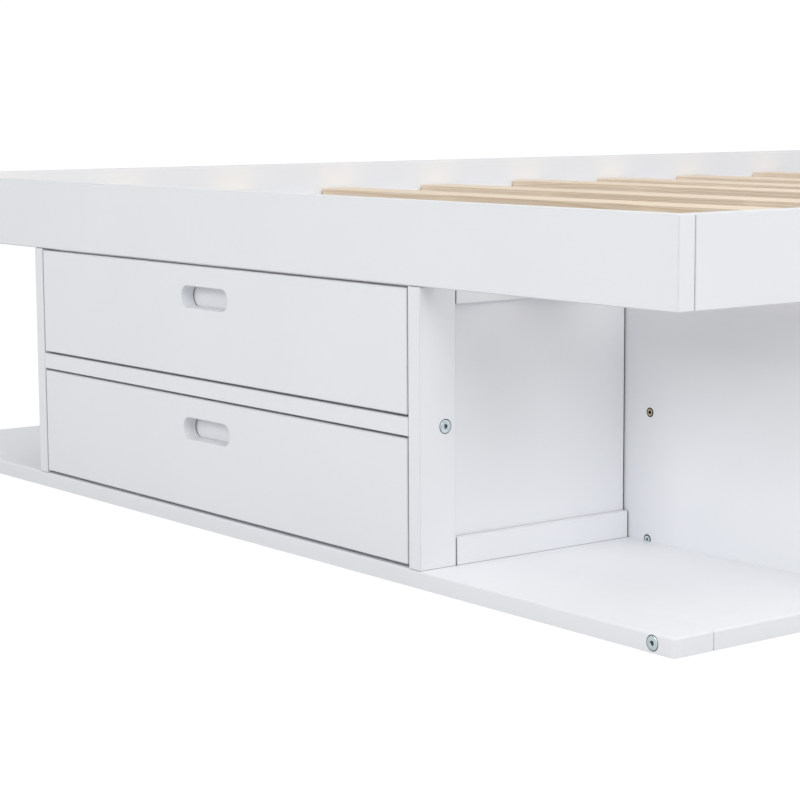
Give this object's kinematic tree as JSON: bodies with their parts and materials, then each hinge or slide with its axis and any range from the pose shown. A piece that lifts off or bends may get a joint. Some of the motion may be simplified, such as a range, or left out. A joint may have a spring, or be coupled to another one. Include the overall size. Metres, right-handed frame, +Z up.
{
  "type": "platform bed with storage drawers",
  "caption": "Low platform bed: slatted mattress frame over a thin base, inset foot drawers with finger slots, and open corner shelves beside them.",
  "frame": {"origin": "middle of the bed's footprint, on the floor", "axes": "+Z up; Y along the bed, with the drawers at the foot facing -Y; +X is the right side seen from the foot"},
  "size_m": [1.58, 2.0953, 0.405],
  "materials": {
    "white_paint": "satin white paint on wood",
    "slat_wood": "bare planed pale softwood with knots",
    "zinc_steel": "bright zinc plate"
  },
  "bodies": {
    "root": {"back_board": "white_paint", "base_bolt_left": "zinc_steel", "base_bolt_right": "zinc_steel", "base_front_strip": "white_paint", "base_side_strip_left": "white_paint", "base_side_strip_right": "white_paint", "bay_panel_left": "white_paint", "bay_panel_right": "white_paint", "bay_skirt_left": "white_paint", "bay_skirt_right": "white_paint", "bay_top_strip_left": "white_paint", "bay_top_strip_right": "white_paint", "centre_board": "white_paint", "drawer_divider": "white_paint", "foot_deck": "white_paint", "foot_post_left": "white_paint", "foot_post_right": "white_paint", "foot_rail": "white_paint", "head_panel": "white_paint", "head_rail": "white_paint", "inner_board_left": "white_paint", "inner_board_right": "white_paint", "post_bolt_left": "zinc_steel", "post_bolt_right": "zinc_steel", "side_deck_left": "white_paint", "side_deck_right": "white_paint", "side_rail_left": "white_paint", "side_rail_right": "white_paint", "slat_01": "slat_wood", "slat_02": "slat_wood", "slat_03": "slat_wood", "slat_04": "slat_wood", "slat_05": "slat_wood", "slat_06": "slat_wood", "slat_07": "slat_wood", "slat_08": "slat_wood", "slat_09": "slat_wood", "slat_10": "slat_wood", "slat_ledge_left": "white_paint", "slat_ledge_right": "white_paint", "slide_channel_lower_left": "zinc_steel", "slide_channel_lower_right": "zinc_steel", "slide_channel_upper_left": "zinc_steel", "slide_channel_upper_right": "zinc_steel"},
    "drawer_upper": {"drawer_upper_back": "white_paint", "drawer_upper_floor": "white_paint", "drawer_upper_front": "white_paint", "drawer_upper_inner_front": "white_paint", "drawer_upper_side_left": "white_paint", "drawer_upper_side_right": "white_paint", "slide_runner_upper_left": "zinc_steel", "slide_runner_upper_right": "zinc_steel"},
    "drawer_lower": {"drawer_lower_back": "white_paint", "drawer_lower_floor": "white_paint", "drawer_lower_front": "white_paint", "drawer_lower_inner_front": "white_paint", "drawer_lower_side_left": "white_paint", "drawer_lower_side_right": "white_paint", "slide_runner_lower_left": "zinc_steel", "slide_runner_lower_right": "zinc_steel"}
  },
  "joints": [
    {"name": "drawer_upper_slide", "type": "slide", "parent": "root", "child": "drawer_upper", "axis": [0, -1, 0], "range_m": [0, 0.19]},
    {"name": "drawer_lower_slide", "type": "slide", "parent": "root", "child": "drawer_lower", "axis": [0, -1, 0], "range_m": [0, 0.19]}
  ]
}
